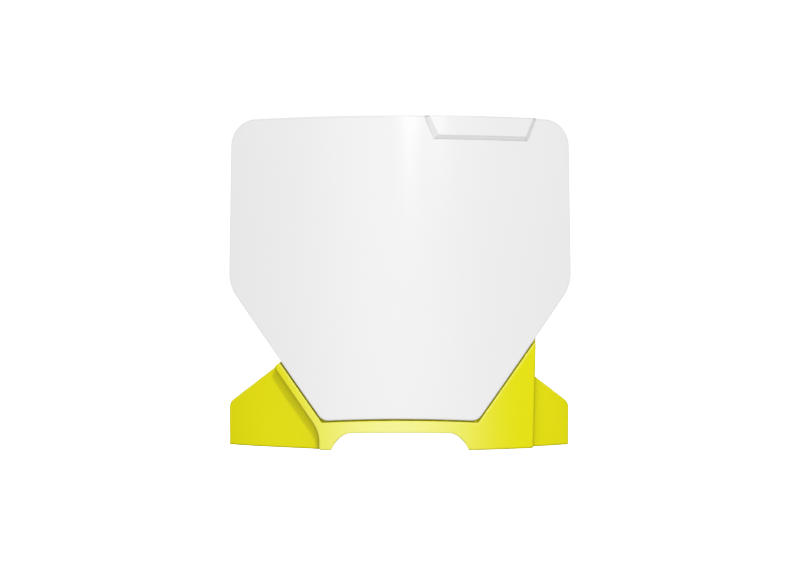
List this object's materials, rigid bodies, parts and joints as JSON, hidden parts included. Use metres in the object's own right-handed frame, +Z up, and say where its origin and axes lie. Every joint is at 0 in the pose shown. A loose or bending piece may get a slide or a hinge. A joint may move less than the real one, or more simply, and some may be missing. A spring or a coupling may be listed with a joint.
{
  "type": "racing number board",
  "caption": "Curved racing number board: white panel with a raised corner pad over a yellow skirt with feet and flaps set back before the fork legs. A rear tab screws to the fork clamp.",
  "frame": {"origin": "centre of the clamp screw's hole, on the underside of the mounting tab", "axes": "+Z up along the hole and the board's upright curve axis, the board's face looks along -Y, +X to the right of a viewer in front of it"},
  "size_m": [0.2523, 0.0642, 0.2395],
  "materials": {
    "panel_white": "satin white",
    "skirt_yellow": "satin yellow",
    "screw_steel": "zinc plated"
  },
  "bodies": {
    "root": {"number_panel": "panel_white", "lower_skirt": "skirt_yellow", "panel_screws": "screw_steel"}
  },
  "joints": []
}
